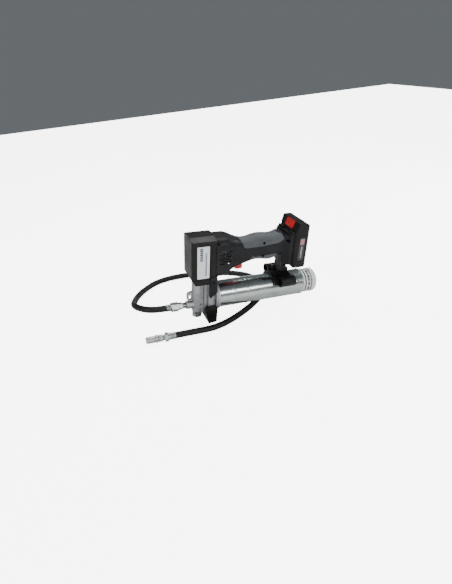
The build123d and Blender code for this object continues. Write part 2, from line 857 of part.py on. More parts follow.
def spur(teeth, x0, x1, turn=0.0):
    """Outside gear about the X axis with its first tooth towards +Y, turned by turn degrees."""
    return Rot(turn, 0, 0) * cross_plate(gear_outline(teeth, -0.16, 1.2, 0.85), x0, x1)


def gear_front():
    return -27.5


def sun_gear():
    x0 = gear_front()
    gear = spur(sun_teeth, x0, x0 + gear_width + 0.5)
    gear -= bar(x0 - 1, x0 + gear_width + 2, shaft_radius)
    return Pos(0, 0, motor_axis) * gear


def planet(k):
    x0 = gear_front() + 0.3
    angle = k * 360 / planet_count
    tooth = 360 / planet_teeth
    gear = spur(planet_teeth, x0, x0 + gear_width, tooth / 2)
    gear -= bar(x0 - 1, x0 + gear_width + 1, 2.0 + running)
    return Pos(0, 0, motor_axis) * Rot(angle, 0, 0) * Pos(0, planet_orbit, 0) * gear


def ring_gear():
    x0 = gear_front()
    space = cross_plate(gear_outline(ring_teeth, 0.16, 0.85, 1.2), x0 - 1, x0 + gear_width + 1)
    space = Rot(180 / ring_teeth, 0, 0) * space
    ring = bar(x0, x0 + gear_width, ring_radius) - space
    return Pos(0, 0, motor_axis) * ring


def planet_carrier():
    """Disc with the planets' three pins behind and the crank pin in front."""
    disc_front = gear_front() - 4.5
    disc = bar(disc_front, gear_front() - 0.5, 19)
    disc += bar(disc_front - 4, disc_front, 9)
    for k in range(planet_count):
        pin_bar = bar(gear_front() - 1, gear_front() + gear_width, 2.0, y=planet_orbit)
        disc += Rot(k * 360 / planet_count, 0, 0) * pin_bar
    disc += bar(disc_front - 4.8, disc_front - 4, 4, z=0, y=0)
    crank = bar(disc_front - 5.0, disc_front - 4.4, 3.2)
    return Pos(0, 0, motor_axis) * (disc + crank)


def gear_frame():
    """Aluminium bridge on the head's flange that carries the crank's bearing."""
    x1 = gear_front() - 5.0
    x0 = x1 - 2.6
    plate = block(x0, x1, -22, 22, flange_top, 118)
    plate -= bar(x0 - 1, x1 + 1, 13, z=motor_axis)
    plate += block(x0, x1, -22, 22, flange_top, flange_top + 3)
    return plate


def crank_bearing():
    x1 = gear_front() - 5.0
    x0 = x1 - 2.6
    return bar(x0, x1, 13, z=motor_axis) - bar(x0 - 1, x1 + 1, 9 + running, z=motor_axis)


def plunger():
    """Hardened plunger under its slotted yoke."""
    yoke_front = pump_place - 3
    yoke_rear = pump_place + 3
    middle = motor_axis
    yoke = block(yoke_front, yoke_rear, -15, 15, middle - 9, middle + 9)
    yoke -= block(yoke_front - 1, yoke_rear + 1, -11.5, 11.5, middle - 4, middle + 4)
    yoke += post(middle - 15, middle - 8.9, 4.4, pump_place)
    return yoke + post(0, middle - 14, plunger_radius, pump_place)


def plunger_gland():
    """Bush and seal round the plunger at the top of its bore."""
    body = post(flange_top, flange_top + 6, gland_radius, pump_place) - post(
        flange_top - 1, flange_top + 7, plunger_radius + running, pump_place)
    return body


# ---- Battery -------------------------------------------------------------------------------------------------------


def button_plane():
    """Where the release button sits, its X out of the slope and its Z up the slope."""
    return Pos(pack_front + 4.5, 0, 143.5) * Rot(0, button_tilt, 0)


def pack_form(inset):
    body = block(pack_front + inset, pack_rear - inset, -pack_half_width + inset, pack_half_width - inset,
                 pack_bottom + inset, pack_top - inset)
    body = fillet(body.edges().filter_by(Axis.Z), 9 - inset)
    rear_top = side_plate([
        (178 - inset, pack_top + 1 - inset), (184 - inset, 149 - inset), (pack_rear + 1 - inset, 141 - inset),
        (pack_rear + 1 - inset, pack_top + 1 - inset),
    ], -40, 40)
    front_top = side_plate([
        (pack_front - 1 + inset, 129.5), (pack_front + inset, 131), (pack_front + 8 + inset, pack_top + 0.5),
        (pack_front - 1 + inset, pack_top + 0.5),
    ], -40, 40)
    body = fillet(body.edges().group_by(Axis.Z)[0], 4 - inset)
    low = side_plate([
        (pack_front - 1 + inset, pack_bottom + 5 + inset), (pack_front - 1 + inset, pack_bottom - 1 + inset),
        (pack_front + 6 + inset, pack_bottom - 1 + inset),
    ], -40, 40)
    return body - rear_top - front_top - low


def battery_shells():
    """Front and rear shells of the pack, with the rails on the front one."""
    outer = pack_form(0)
    hollow = pack_form(pack_wall)
    hollow -= block(pack_front - 1, pack_split - 4, -pack_half_width, pack_half_width, 127, pack_top)
    shell = outer - hollow
    deep = button_depth + button_travel + 0.5
    half = button_half_width + 0.4
    pocket = button_plane() * block(-3, deep, -half, half, -button_half_height - 0.4, button_half_height + 0.4)
    shell -= pocket
    for z in (66, 72, 78, 84, 90, 96, 102, 108):
        for side in (-1, 1):
            low, high = sorted((side * (pack_half_width - 0.8), side * (pack_half_width + 1)))
            shell -= block(pack_rear - 9, pack_rear - 2, low, high, z, z + 2)
    rail_front = pack_front - rail_neck_depth - rail_depth
    rail = block(rail_front, rail_front + rail_depth - 0.5, -rail_half_width, rail_half_width, rail_bottom, rail_top)
    rail += block(rail_front + rail_depth - 1, pack_front + 1, -rail_neck_half_width, rail_neck_half_width,
                  rail_bottom, rail_top)
    for side in (-8, 0, 8):
        rail -= block(rail_front - 1, rail_front + rail_depth + 1, side - 1, side + 1, rail_bottom - 1,
                      rail_bottom + 12)
    front_part = block(100, pack_split, -50, 50, 0, 200)
    rear_part = block(pack_split, 220, -50, 50, 0, 200)
    return (shell & front_part) + rail, shell & rear_part


def battery_cells():
    """Five round cells lying across the pack, one above the other."""
    pitch = 2 * cell_radius + 0.1
    low = pack_bottom + pack_wall + cell_radius + 0.6
    cells = [pin(-cell_length / 2, cell_length / 2, cell_radius, cell_place, low + k * pitch) for k in range(cell_count)]
    return Compound(cells)


def release_button():
    height = button_half_height
    body = block(-1.2, button_depth, -button_half_width, button_half_width, -height, height)
    body = fillet(body.edges().filter_by(Axis.X), 2)
    for k in range(4):
        z = -4.5 + 3 * k
        body -= block(-2, -0.7, -button_half_width + 3, button_half_width - 3, z - 0.5, z + 0.5)
    return button_plane() * body


def button_spring():
    wire = 0.2
    spring = coil(2.2, wire, button_travel - 2 * wire, 1)
    return button_plane() * Pos(button_depth + wire, 0, 0) * Rot(0, 90, 0) * spring


def battery_label():
    y = -pack_half_width
    plate = block(166, 178, y - 0.3, y, 72, 122)
    return plate


def terminal_block():
    """Contact block at the foot of the rail channel, with three blades."""
    rail_front = foot_plate_rear - rail_neck_depth - rail_depth
    body = block(rail_front - 0.4, rail_front + rail_depth, -12, 12, rail_bottom - 8, rail_bottom - 4)
    for side in (-8, 0, 8):
        body += block(rail_front + 0.6, rail_front + 3, side - 0.5, side + 0.5, rail_bottom - 4, rail_bottom + 8)
    return body


# ---- Hose bracket ------------------------------------------------------------------------------------------------------


def hose_bracket():
    """Strut under the housing's foot with a saddle over the barrel and two parking sockets."""
    strut = side_plate([
        (strut_front, foot_plate_bottom), (strut_rear, foot_plate_bottom), (strut_rear, 51), (158, 47),
        (158, 30), (strut_front - 1, 30),
    ], -strut_half_width, strut_half_width)
    inner = barrel_radius + saddle_gap
    outer = inner + saddle_thickness
    saddle = bar(saddle_front, saddle_rear, outer) - bar(saddle_front - 1, saddle_rear + 1, inner)
    reach = 60
    angle = radians(saddle_angle)
    keep = cross_plate([
        (0, 0), (reach * sin(angle), reach * cos(angle)), (reach, reach), (-reach, reach),
        (-reach * sin(angle), reach * cos(angle)),
    ], saddle_front - 1, saddle_rear + 1)
    saddle = saddle & keep
    body = strut + saddle
    rear = socket_front + socket_length
    for side in (-1, 1):
        arm = cross_plate([
            (side * 10, 34), (side * 10, 42), (side * socket_side, socket_height + 10),
            (side * socket_side, socket_height),
        ], 136, saddle_rear)
        body += arm
        body += bar(socket_front, rear, socket_radius, y=side * socket_side, z=socket_height)
        body += bar(socket_front, socket_front + 3, socket_radius + 0.5, y=side * socket_side, z=socket_height)
    body -= bar(saddle_front - 5, rear + 5, inner)
    for side in (-1, 1):
        body -= bar(socket_front - 1, rear - socket_floor, socket_bore, y=side * socket_side, z=socket_height)
    lug = bracket_lug_half_width + seat_gap
    body -= block(142.5 - seat_gap, 151.5 + seat_gap, -lug, lug, 50.3, foot_plate_bottom + 1)
    side = strut_half_width
    body -= pin(-side - 1, -side + 3, screw_head_radius + seat_gap, *bracket_screw_place)
    body -= pin(-side, side - 3, screw_radius + running, *bracket_screw_place)
    return body


def bracket_screw():
    """Cross screw through the strut and the housing's lug."""
    side = strut_half_width
    head = pin(-side + 1, -side + 3, screw_head_radius, *bracket_screw_place)
    head -= pin(-side, -side + 2.2, 1.3, *bracket_screw_place)
    return head + pin(-side + 3, side - 3, screw_radius, *bracket_screw_place)


# ---- Writing the pieces -------------------------------------------------------------------------------------------------


def export(name, shape):
    export_step(shape, f"parts/{name}.step")


os.makedirs("parts", exist_ok=True)

handle_skin = handle_form(0)
pad_windows = side_plate(pad_outline(True), -40, -0.3) + side_plate(pad_outline(False), -40, -0.3)
grip_skin = (handle_skin - handle_form(pad_thickness)) & block(38, 140, -40, 0, 60, 140)
grip_skin -= foot_plate()
pad_skin = grip_skin & pad_windows
battery_front, battery_rear = battery_shells()
pieces = {
    "barrel_tube": barrel_tube,
    "cartridge_shell": cartridge_shell,
    "cartridge_band": cartridge_band,
    "cartridge_end_cap": cartridge_end_cap,
    "follower": follower,
    "barrel_gasket": barrel_gasket,
    "pump_head": pump_head,
    "pump_plug": pump_plug,
    "valve_ball": valve_ball,
    "valve_spring": valve_spring,
    "outlet_adapter": outlet_adapter,
    "adapter_nut": adapter_nut,
    "hose_nut": hose_nut,
    "ferrule_front": ferrule_front,
    "foot": foot,
    "foot_screw": foot_screw,
    "gearbox_cover": gearbox_cover,
    "label_plate": label_plate,
    "housing_near": lambda: housing(-1),
    "housing_far": lambda: housing(1),
    "housing_screws": housing_screws,
    "grip_pad_near": lambda: grip_pad(True),
    "grip_pad_far": lambda: mirrored(grip_pad(True)),
    "lower_pad_near": lambda: grip_pad(False),
    "lower_pad_far": lambda: mirrored(grip_pad(False)),
    "trigger": trigger,
    "trigger_pin": trigger_pin,
    "trigger_spring": trigger_spring,
    "switch_body": switch_body,
    "motor_can": motor_can,
    "motor_bearings": motor_bearings,
    "rotor": rotor,
    "motor_fan": motor_fan,
    "sun_gear": sun_gear,
    "ring_gear": ring_gear,
    "planet_1": lambda: planet(0),
    "planet_2": lambda: planet(1),
    "planet_3": lambda: planet(2),
    "planet_carrier": planet_carrier,
    "gear_frame": gear_frame,
    "crank_bearing": crank_bearing,
    "plunger": plunger,
    "plunger_gland": plunger_gland,
    "battery_front": lambda: battery_front,
    "battery_rear": lambda: battery_rear,
    "battery_cells": battery_cells,
    "battery_label": battery_label,
    "release_button": release_button,
    "button_spring": button_spring,
    "terminal_block": terminal_block,
    "hose_bracket": hose_bracket,
    "bracket_screw": bracket_screw,
}
for name, make in pieces.items():
    export(name, place(make()))

end_pieces = {
    "ferrule_rear": ferrule_rear,
    "coupler_nut": coupler_nut,
    "coupler_body": coupler_body,
    "coupler_jaws": coupler_jaws,
    "coupler_sleeve": coupler_sleeve,
}
for name, make in end_pieces.items():
    export(name, at_hose_end(make()))
export("hose", hose())
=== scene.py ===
import bmesh
import bpy
import json
import math
import random
from mathutils import Matrix, Vector


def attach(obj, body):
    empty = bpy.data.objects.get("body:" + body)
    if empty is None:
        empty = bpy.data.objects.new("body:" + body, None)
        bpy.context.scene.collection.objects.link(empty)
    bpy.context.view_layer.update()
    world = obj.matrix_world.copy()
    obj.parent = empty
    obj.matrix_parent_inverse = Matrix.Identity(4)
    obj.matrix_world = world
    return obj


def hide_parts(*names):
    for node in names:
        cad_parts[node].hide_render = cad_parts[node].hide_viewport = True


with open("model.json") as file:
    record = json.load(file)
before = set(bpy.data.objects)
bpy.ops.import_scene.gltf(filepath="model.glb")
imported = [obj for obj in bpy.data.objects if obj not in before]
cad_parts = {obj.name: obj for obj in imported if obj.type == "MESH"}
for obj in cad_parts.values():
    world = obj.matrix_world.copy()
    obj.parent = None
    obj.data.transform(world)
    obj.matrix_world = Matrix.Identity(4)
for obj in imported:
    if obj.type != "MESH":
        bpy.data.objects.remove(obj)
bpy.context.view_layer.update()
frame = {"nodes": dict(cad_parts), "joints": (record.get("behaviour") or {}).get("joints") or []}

random.seed(7)
nodes = frame["nodes"]


# ---- Barrel ------------------------------------------------------------------------------------------
# The drawn steel tube that holds the cartridge, zinc plated, with two rolled beads. It is pushed into
# the head's collar. Fine lines run round it from turning in its packing, with a few faint scuffs.

class Value:
    """A shader socket, or a plain number, that takes part in ordinary arithmetic."""

    def __init__(self, shader, socket):
        self.shader = shader
        self.socket = socket

    def calc(self, operation, *others):
        return self.shader.node("ShaderNodeMath", settings={"operation": operation},
                                inputs=dict(enumerate((self,) + others)))

    def __add__(self, other):
        return self.calc("ADD", other)

    def __sub__(self, other):
        return self.calc("SUBTRACT", other)

    def __mul__(self, other):
        return self.calc("MULTIPLY", other)

    def __rsub__(self, other):
        return (self * -1.0) + other

    __radd__ = __add__
    __rmul__ = __mul__

    def over(self, limit):
        return self.calc("GREATER_THAN", limit)

    def under(self, limit):
        return self.calc("LESS_THAN", limit)

    def between(self, low, high):
        return self.over(low) * self.under(high)

    def sine(self):
        return self.calc("SINE")

    def spread(self, low, high, new_low=0.0, new_high=1.0):
        """Map low..high to new_low..new_high, clamped."""
        return self.shader.node("ShaderNodeMapRange", inputs={
            "Value": self, "From Min": low, "From Max": high, "To Min": new_low, "To Max": new_high})


class Shader:
    """A new material with one Principled surface, built from expressions."""

    def __init__(self, name):
        self.material = bpy.data.materials.new(name)
        self.material.use_nodes = True
        self.tree = self.material.node_tree
        self.surface = self.tree.nodes["Principled BSDF"]

    def put(self, socket, item):
        if isinstance(item, Value):
            self.tree.links.new(item.socket, socket)
        elif isinstance(item, (tuple, list, Vector)) and len(socket.default_value) == 4:
            socket.default_value = (*item, 1.0)[:4]
        else:
            socket.default_value = item

    def node(self, kind, output=0, settings=None, inputs=None):
        made = self.tree.nodes.new(kind)
        for name, setting in (settings or {}).items():
            setattr(made, name, setting)
        for name, item in (inputs or {}).items():
            self.put(made.inputs[name], item)
        return Value(self, made.outputs[output])

    def place(self):
        """Where a point is in its piece's coordinates, which are the shared frame's, in metres."""
        return self.node("ShaderNodeTexCoord", output="Object")

    def split(self, vector):
        parts = self.tree.nodes.new("ShaderNodeSeparateXYZ")
        self.put(parts.inputs[0], vector)
        return [Value(self, parts.outputs[k]) for k in range(3)]

    def stretched(self, scale, turn=(0, 0, 0)):
        return self.node("ShaderNodeMapping", inputs={"Vector": self.place(), "Scale": scale,
                                                      "Rotation": turn})

    def painted_corner_shade(self, reach):
        """Painted shade: 1 in the open and 0 deep in a corner, from ambient occlusion."""
        return self.node("ShaderNodeAmbientOcclusion", output="AO", settings={"samples": 4},
                         inputs={"Distance": reach}).spread(0.25, 0.85)

    def noise(self, scale, detail=4.0, roughness=0.55, vector=None):
        return self.node("ShaderNodeTexNoise", inputs={
            "Vector": vector or self.place(), "Scale": scale, "Detail": detail, "Roughness": roughness})

    def cells(self, scale, vector=None):
        return self.node("ShaderNodeTexVoronoi", inputs={
            "Vector": vector or self.place(), "Scale": scale})

    def blend(self, factor, first, second):
        return self.node("ShaderNodeMix", output=2, settings={"data_type": "RGBA"}, inputs={
            0: factor, 6: first, 7: second})

    def colour(self, item):
        self.put(self.surface.inputs["Base Color"], item)

    def rough(self, item):
        self.put(self.surface.inputs["Roughness"], item)

    def metal(self, item):
        self.put(self.surface.inputs["Metallic"], item)

    def relief(self, height, distance, edge=0.0004, strength=1.0):
        """Fine relief, on edges that are slightly rounded."""
        inputs = {"Height": height, "Distance": distance, "Strength": strength}
        if edge:
            inputs["Normal"] = self.node("ShaderNodeBevel", settings={"samples": 4}, inputs={"Radius": edge})
        self.put(self.surface.inputs["Normal"], self.node("ShaderNodeBump", inputs=inputs))


def paint(material, *names):
    for name in names:
        slots = nodes[name].data.materials
        slots.clear()
        slots.append(material)


def joint(name):
    return next(item for item in frame["joints"] if item["name"] == name)


# The gun's own axes, in which its barrel is level, read from the joints that slide along them
along = Vector(joint("barrel_pull")["axis"])
upward = Vector(joint("battery_slide")["axis"])
on_axis = Vector(joint("cartridge_turn")["pos_m"])
tilt = math.atan2(-along.z, along.x)
across = (0.0, -tilt, 0.0)


def axial(shader):
    """Distance along the barrel and round it, in metres and radians."""
    level = shader.node("ShaderNodeVectorMath", settings={"operation": "SUBTRACT"},
                        inputs={0: shader.place(), 1: on_axis})
    level = shader.node("ShaderNodeVectorRotate", settings={"rotation_type": "Y_AXIS"},
                        inputs={"Vector": level, "Angle": -tilt})
    x, y, z = shader.split(level)
    return x, y.calc("ARCTAN2", z)


def zinc_plate(name, scuffs=0.5):
    shader = Shader(name)
    x = axial(shader)[0]
    rings = shader.node("ShaderNodeTexNoise", settings={"noise_dimensions": "1D"},
                        inputs={"W": x, "Scale": 2600.0, "Detail": 3.0})
    clouds = shader.noise(38.0, 5.0, 0.6)
    spangle = shader.cells(240.0)
    scratches = shader.noise(1.0, 6.0, 0.7, shader.stretched((30.0, 260.0, 900.0)))
    marks = scratches.spread(0.63, 0.7) * clouds.spread(0.45, 0.62) * scuffs
    tone = shader.blend(clouds.spread(0.3, 0.7), (0.47, 0.51, 0.50), (0.62, 0.66, 0.645))
    shader.colour(shader.blend(marks, tone, (0.40, 0.41, 0.41)))
    shader.metal(1.0)
    shader.rough(0.17 + clouds * 0.07 + rings * 0.05 + marks * 0.12 + spangle * 0.02)
    shader.relief(rings, 0.000006, 0.0003, 0.2)
    return shader.material


paint(zinc_plate("zinc_barrel"), "barrel_tube")


# ---- Cartridge ---------------------------------------------------------------------------------------
# The blow-moulded cartridge inside the barrel. Only its rear shows: a printed band with blocks and
# dashes in black, and the pale pressed-in end with its rim.

def cartridge_plastic():
    shader = Shader("cartridge_plastic")
    flow = shader.noise(90.0, 4.0)
    grime = shader.noise(24.0, 5.0, 0.65)
    shader.colour(shader.blend(grime.spread(0.5, 0.72), (0.84, 0.84, 0.83), (0.66, 0.65, 0.62)))
    shader.rough(0.38 + flow * 0.2)
    shader.surface.inputs["Subsurface Weight"].default_value = 0.08
    shader.relief(flow, 0.0001, 0.0006)
    return shader.material


def band_print():
    """White paper with a black edge, widened with painted shadow beside the barrel's rim, rows of dashes and
    broad broken blocks.
    """
    shader = Shader("band_print")
    x, around = axial(shader)
    places = [(vertex.co - on_axis).dot(along) for vertex in nodes["cartridge_band"].data.vertices]
    half = (max(places) - min(places)) / 2
    offset = x - (max(places) - half)
    pieces = shader.node("ShaderNodeTexNoise", settings={"noise_dimensions": "1D"},
                         inputs={"W": around, "Scale": 7.0, "Detail": 1.0})
    dashes = shader.node("ShaderNodeTexNoise", settings={"noise_dimensions": "1D"},
                         inputs={"W": around, "Scale": 22.0, "Detail": 0.0})
    # The black edge is printed ink widened with painted shadow beside the barrel's rim; it joins the ink
    # mask below.
    edge = offset.under(-half * 0.68)
    blocks = offset.between(-half * 0.3, half * 0.25) * pieces.over(0.44)
    rows = offset.between(half * 0.48, half * 0.9)
    ink = edge + blocks + rows * dashes.over(0.4)
    fibre = shader.noise(700.0, 3.0)
    shader.colour(shader.blend(ink.calc("MINIMUM", 1.0), (0.86, 0.86, 0.85), (0.03, 0.03, 0.035)))
    shader.rough(0.42 + fibre * 0.18)
    shader.relief(fibre, 0.00003, 0.0)
    return shader.material


paint(cartridge_plastic(), "cartridge_shell", "cartridge_end_cap", "follower")
paint(band_print(), "cartridge_band")


# ---- Pump head ---------------------------------------------------------------------------------------
# A die-cast aluminium block with collar, pump boss, outlet boss and hanging eye. It is bead blasted,
# so it is grainy and matt, and painted shade darkens it down in its corners.

def cast_aluminium(name, tone=(0.50, 0.51, 0.53)):
    shader = Shader(name)
    grain = shader.noise(1500.0, 3.0, 0.7)
    pits = shader.cells(900.0)
    clouds = shader.noise(60.0, 5.0, 0.6)
    dark = tuple(part * 0.72 for part in tone)
    bare = shader.blend(clouds.spread(0.35, 0.7), tone, dark)
    # Painted shade: in corners and recesses the colour falls to 0.16 of its tone.
    shader.colour(shader.blend(shader.painted_corner_shade(0.012), tuple(part * 0.16 for part in tone), bare))
    shader.metal(0.85)
    shader.rough(0.42 + grain * 0.2 + clouds * 0.1)
    shader.relief(grain * 0.7 + pits * 0.5 + clouds, 0.00018, 0.0007, 0.7)
    return shader.material


paint(cast_aluminium("cast_head"), "pump_head", "gear_frame")


# ---- Plug, outlet fittings and ferrules --------------------------------------------------------------
# Turned steel pieces, zinc plated: the hexagon plug under the pump, the adapter with its thread, the
# two nuts and the crimped ferrules. The tool marks run round each piece.

def turned_steel(name, tone=(0.64, 0.64, 0.62), roughness=0.26):
    shader = Shader(name)
    lines = shader.noise(1.0, 3.0, 0.6, shader.stretched((5200.0, 160.0, 160.0), across))
    clouds = shader.noise(130.0, 4.0)
    dull = tuple(part * 0.6 for part in tone)
    bare = shader.blend(clouds.spread(0.45, 0.75), tone, dull)
    # Painted shade: in corners and recesses the colour falls to 0.15 of its tone.
    shader.colour(shader.blend(shader.painted_corner_shade(0.004), tuple(part * 0.15 for part in tone), bare))
    shader.metal(1.0)
    shader.rough(roughness + clouds * 0.14 + lines * 0.12)
    shader.relief(lines + clouds * 0.4, 0.00006, 0.0004, 0.6)
    return shader.material


bright_zinc = turned_steel("zinc_fittings", (0.33, 0.35, 0.35), 0.22)
grey_steel = turned_steel("plain_steel", (0.50, 0.50, 0.50), 0.32)
paint(bright_zinc, "pump_plug", "outlet_adapter", "adapter_nut", "hose_nut", "ferrule_front", "ferrule_rear",
      "coupler_nut", "valve_ball", "plunger", "motor_can")
paint(grey_steel, "valve_spring", "foot_screw", "trigger_pin", "trigger_spring",
      "button_spring", "crank_bearing")
paint(turned_steel("black_oxide", (0.03, 0.03, 0.032), 0.4), "housing_screws", "bracket_screw")


# ---- Standing foot, gearbox cover and housing --------------------------------------------------------
# Glass-filled nylon mouldings in black: the foot under the head, the deep cover over the gears and
# the two housing halves, all with a fine spark texture that handling has polished in patches.

def moulded(name, tone, roughness=0.5, texture=1.0, dust=0.5):
    shader = Shader(name)
    grain = shader.cells(2600.0)
    fine = shader.noise(4200.0, 2.0)
    clouds = shader.noise(26.0, 5.0, 0.6)
    specks = shader.noise(420.0, 6.0, 0.75).spread(0.66, 0.74)
    worn = tuple(part * 1.7 + 0.002 for part in tone)
    base = shader.blend(clouds.spread(0.4, 0.75), tone, worn)
    shader.colour(shader.blend(specks * dust * 0.08, base, (0.25, 0.24, 0.22)))
    shader.rough(roughness - clouds.spread(0.45, 0.75) * 0.14 + grain * 0.1)
    shader.surface.inputs["Specular IOR Level"].default_value = 0.28
    shader.relief(grain * 0.7 + fine * 0.5, 0.00012 * texture, 0.0008, 0.6)
    return shader.material


paint(moulded("black_moulding", (0.0042, 0.0038, 0.0034), 0.42), "foot", "gearbox_cover", "motor_fan")
paint(moulded("housing_moulding", (0.0055, 0.0058, 0.0066), 0.46), "housing_near", "housing_far")


# ---- Label on the cover ------------------------------------------------------------------------------
# A laminated white label stuck in the cover's near recess. Its print is generic: one bold upright
# row of bars and a finer one beside it.

def label_paper(name, tone):
    shader = Shader(name)
    fibre = shader.noise(900.0, 3.0)
    stain = shader.noise(45.0, 4.0)
    shader.colour(shader.blend(stain.spread(0.5, 0.8), tone, tuple(part * 0.86 for part in tone)))
    shader.rough(0.3 + fibre * 0.15)
    shader.surface.inputs["Coat Weight"].default_value = 0.35
    shader.relief(fibre, 0.00002, 0.0003, 0.4)
    return shader.material


def ink(name, tone):
    shader = Shader(name)
    worn = shader.noise(1200.0, 3.0)
    shader.colour(shader.blend(worn.spread(0.55, 0.8), tone, tuple(part + 0.05 for part in tone)))
    shader.rough(0.35 + worn * 0.2)
    return shader.material


def gun_point(x, y, z):
    """A point given along, across and above the barrel's axis, from the cartridge joint's place."""
    return on_axis + along * x + Vector((0, y, 0)) + upward * z


def from_bmesh(name, mesh, material, body):
    data = bpy.data.meshes.new(name)
    mesh.to_mesh(data)
    mesh.free()
    piece = bpy.data.objects.new(name, data)
    bpy.context.scene.collection.objects.link(piece)
    data.materials.append(material)
    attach(piece, body)
    return piece


print_height = 0.00008


def printed_bars(name, bars, plane_y, material, body):
    """Thin raised bars of print on a face that looks to the near side."""
    mesh = bmesh.new()
    for low_x, high_x, low_z, high_z in bars:
        corners = [gun_point(x, plane_y, z) for x, z in
                   ((low_x, low_z), (high_x, low_z), (high_x, high_z), (low_x, high_z))]
        face = mesh.faces.new([mesh.verts.new(corner) for corner in corners])
        raised = bmesh.ops.extrude_face_region(mesh, geom=[face])
        lifted = [item for item in raised["geom"] if isinstance(item, bmesh.types.BMVert)]
        bmesh.ops.translate(mesh, verts=lifted, vec=(0, -print_height, 0))
    bmesh.ops.recalc_face_normals(mesh, faces=mesh.faces)
    return from_bmesh(name, mesh, material, body)


def gun_box(name):
    """A node's extent along, across and above the barrel's axis, in the gun's own frame."""
    points = [Vector(vertex.co) - on_axis for vertex in nodes[name].data.vertices]
    spans = []
    for axis in (along, Vector((0, 1, 0)), upward):
        spread = [point.dot(axis) for point in points]
        spans.append((min(spread), max(spread)))
    return spans


def print_row(left, right, low, high, count, gap):
    """A row of bars of uneven length that reads as printing, stacked upward."""
    bars = []
    pitch = (high - low) / count
    for k in range(count):
        shrink = random.uniform(0.0, 0.28) * (right - left)
        bars.append((left + shrink, right, low + k * pitch + gap, low + (k + 1) * pitch))
    return bars


def cover_print():
    (left, right), (near, far), (low, high) = gun_box("label_plate")
    width = right - left
    height = high - low
    bold = print_row(left + 0.2 * width, left + 0.46 * width, low + 0.55 * height, high - 0.05 * height,
                     7, 0.0009)
    small = print_row(left + 0.64 * width, left + 0.78 * width, low + 0.08 * height, high - 0.2 * height,
                      22, 0.0006)
    dark = ink("label_ink", (0.05, 0.055, 0.065))
    printed_bars("cover_label_print", bold + small, near, dark, "gun")


paint(label_paper("label_white", (0.80, 0.83, 0.86)), "label_plate")
cover_print()


# ---- Grip pads ---------------------------------------------------------------------------------------
# Soft grey rubber moulded over both sides of the grip. It has a dry, slightly dusty surface with a
# close pattern of small dots.

def grip_rubber():
    shader = Shader("grip_rubber")
    dots = shader.cells(1100.0)
    clouds = shader.noise(32.0, 5.0, 0.6)
    shader.colour(shader.blend(clouds.spread(0.35, 0.7), (0.055, 0.063, 0.07), (0.08, 0.089, 0.096)))
    shader.rough(0.62 + clouds * 0.18)
    shader.surface.inputs["Sheen Weight"].default_value = 0.15
    shader.relief(dots.spread(0.0, 0.5), 0.00022, 0.0006, 0.6)
    return shader.material


paint(grip_rubber(), "grip_pad_near", "grip_pad_far", "lower_pad_near", "lower_pad_far")


# ---- Trigger and release button ----------------------------------------------------------------------
# Red acetal mouldings, pinned and sprung in the case, glossy, with flow marks and fine scratches.

def red_moulding():
    shader = Shader("red_moulding")
    clouds = shader.noise(80.0, 4.0)
    scratches = shader.noise(1.0, 5.0, 0.7, shader.stretched((300.0, 900.0, 120.0)))
    shader.colour(shader.blend(clouds.spread(0.4, 0.7), (0.56, 0.012, 0.012), (0.42, 0.008, 0.01)))
    shader.rough(0.3 + clouds * 0.12 + scratches.spread(0.6, 0.75) * 0.2)
    shader.relief(clouds + scratches * 0.5, 0.00008, 0.0007, 0.6)
    return shader.material


paint(red_moulding(), "trigger", "release_button")


# ---- Motor, gears, switch and bushes -----------------------------------------------------------------
# The parts inside the case: hardened gears with an oil sheen, the laminated rotor, the fan, the
# switch in pale nylon and bronze bushes. They show through the vents and when the poses open the gun.

def lacquered_stack():
    shader = Shader("rotor_stack")
    layers = shader.node("ShaderNodeTexWave", settings={"bands_direction": "X"},
                         inputs={"Vector": shader.stretched((1.0, 1.0, 1.0), across), "Scale": 900.0})
    clouds = shader.noise(150.0, 4.0)
    shader.colour(shader.blend(clouds.spread(0.4, 0.65), (0.30, 0.15, 0.07), (0.22, 0.21, 0.20)))
    shader.metal(0.7)
    shader.rough(0.35 + clouds * 0.15)
    shader.relief(layers, 0.00008, 0.0002, 0.6)
    return shader.material


paint(turned_steel("oiled_gear", (0.34, 0.34, 0.35), 0.24), "sun_gear", "ring_gear", "planet_1", "planet_2",
      "planet_3", "planet_carrier")
paint(lacquered_stack(), "rotor")
paint(turned_steel("sintered_bronze", (0.55, 0.37, 0.17), 0.38), "motor_bearings", "plunger_gland")
paint(moulded("pale_nylon", (0.42, 0.41, 0.36), 0.5, 0.6, 0.3), "switch_body", "terminal_block")


# ---- Battery pack ------------------------------------------------------------------------------------
# Two black shells that clip together round five wrapped cells. The near face carries a small label:
# a pale red patch above a column of grey bars.

def pack_print():
    (front, rear), (near, far), (low, high) = gun_box("battery_label")
    width = rear - front
    height = high - low
    patch = [(front + 0.12 * width, rear - 0.1 * width, high - 0.3 * height, high - 0.06 * height)]
    bars = print_row(front + 0.34 * width, front + 0.62 * width, low + 0.1 * height, high - 0.4 * height,
                     9, 0.0012)
    printed_bars("pack_patch", patch, near, ink("patch_ink", (0.42, 0.2, 0.2)), "battery")
    printed_bars("pack_bars", bars, near, ink("bar_ink", (0.5, 0.5, 0.49)), "battery")


paint(moulded("pack_moulding", (0.0045, 0.0045, 0.0052), 0.42), "battery_front", "battery_rear")
paint(label_paper("label_dark", (0.028, 0.028, 0.032)), "battery_label")
paint(moulded("cell_sleeve", (0.03, 0.12, 0.2), 0.35, 0.4, 0.2), "battery_cells")
pack_print()


# ---- Hose bracket ------------------------------------------------------------------------------------
# Black moulding screwed to the housing's foot: a saddle over the barrel with a socket on each side,
# in which the coupler is parked.

paint(moulded("bracket_moulding", (0.004, 0.004, 0.0042), 0.4), "hose_bracket")


# ---- Gasket ------------------------------------------------------------------------------------------
# The rubber ring that seals the barrel's front rim in the collar.

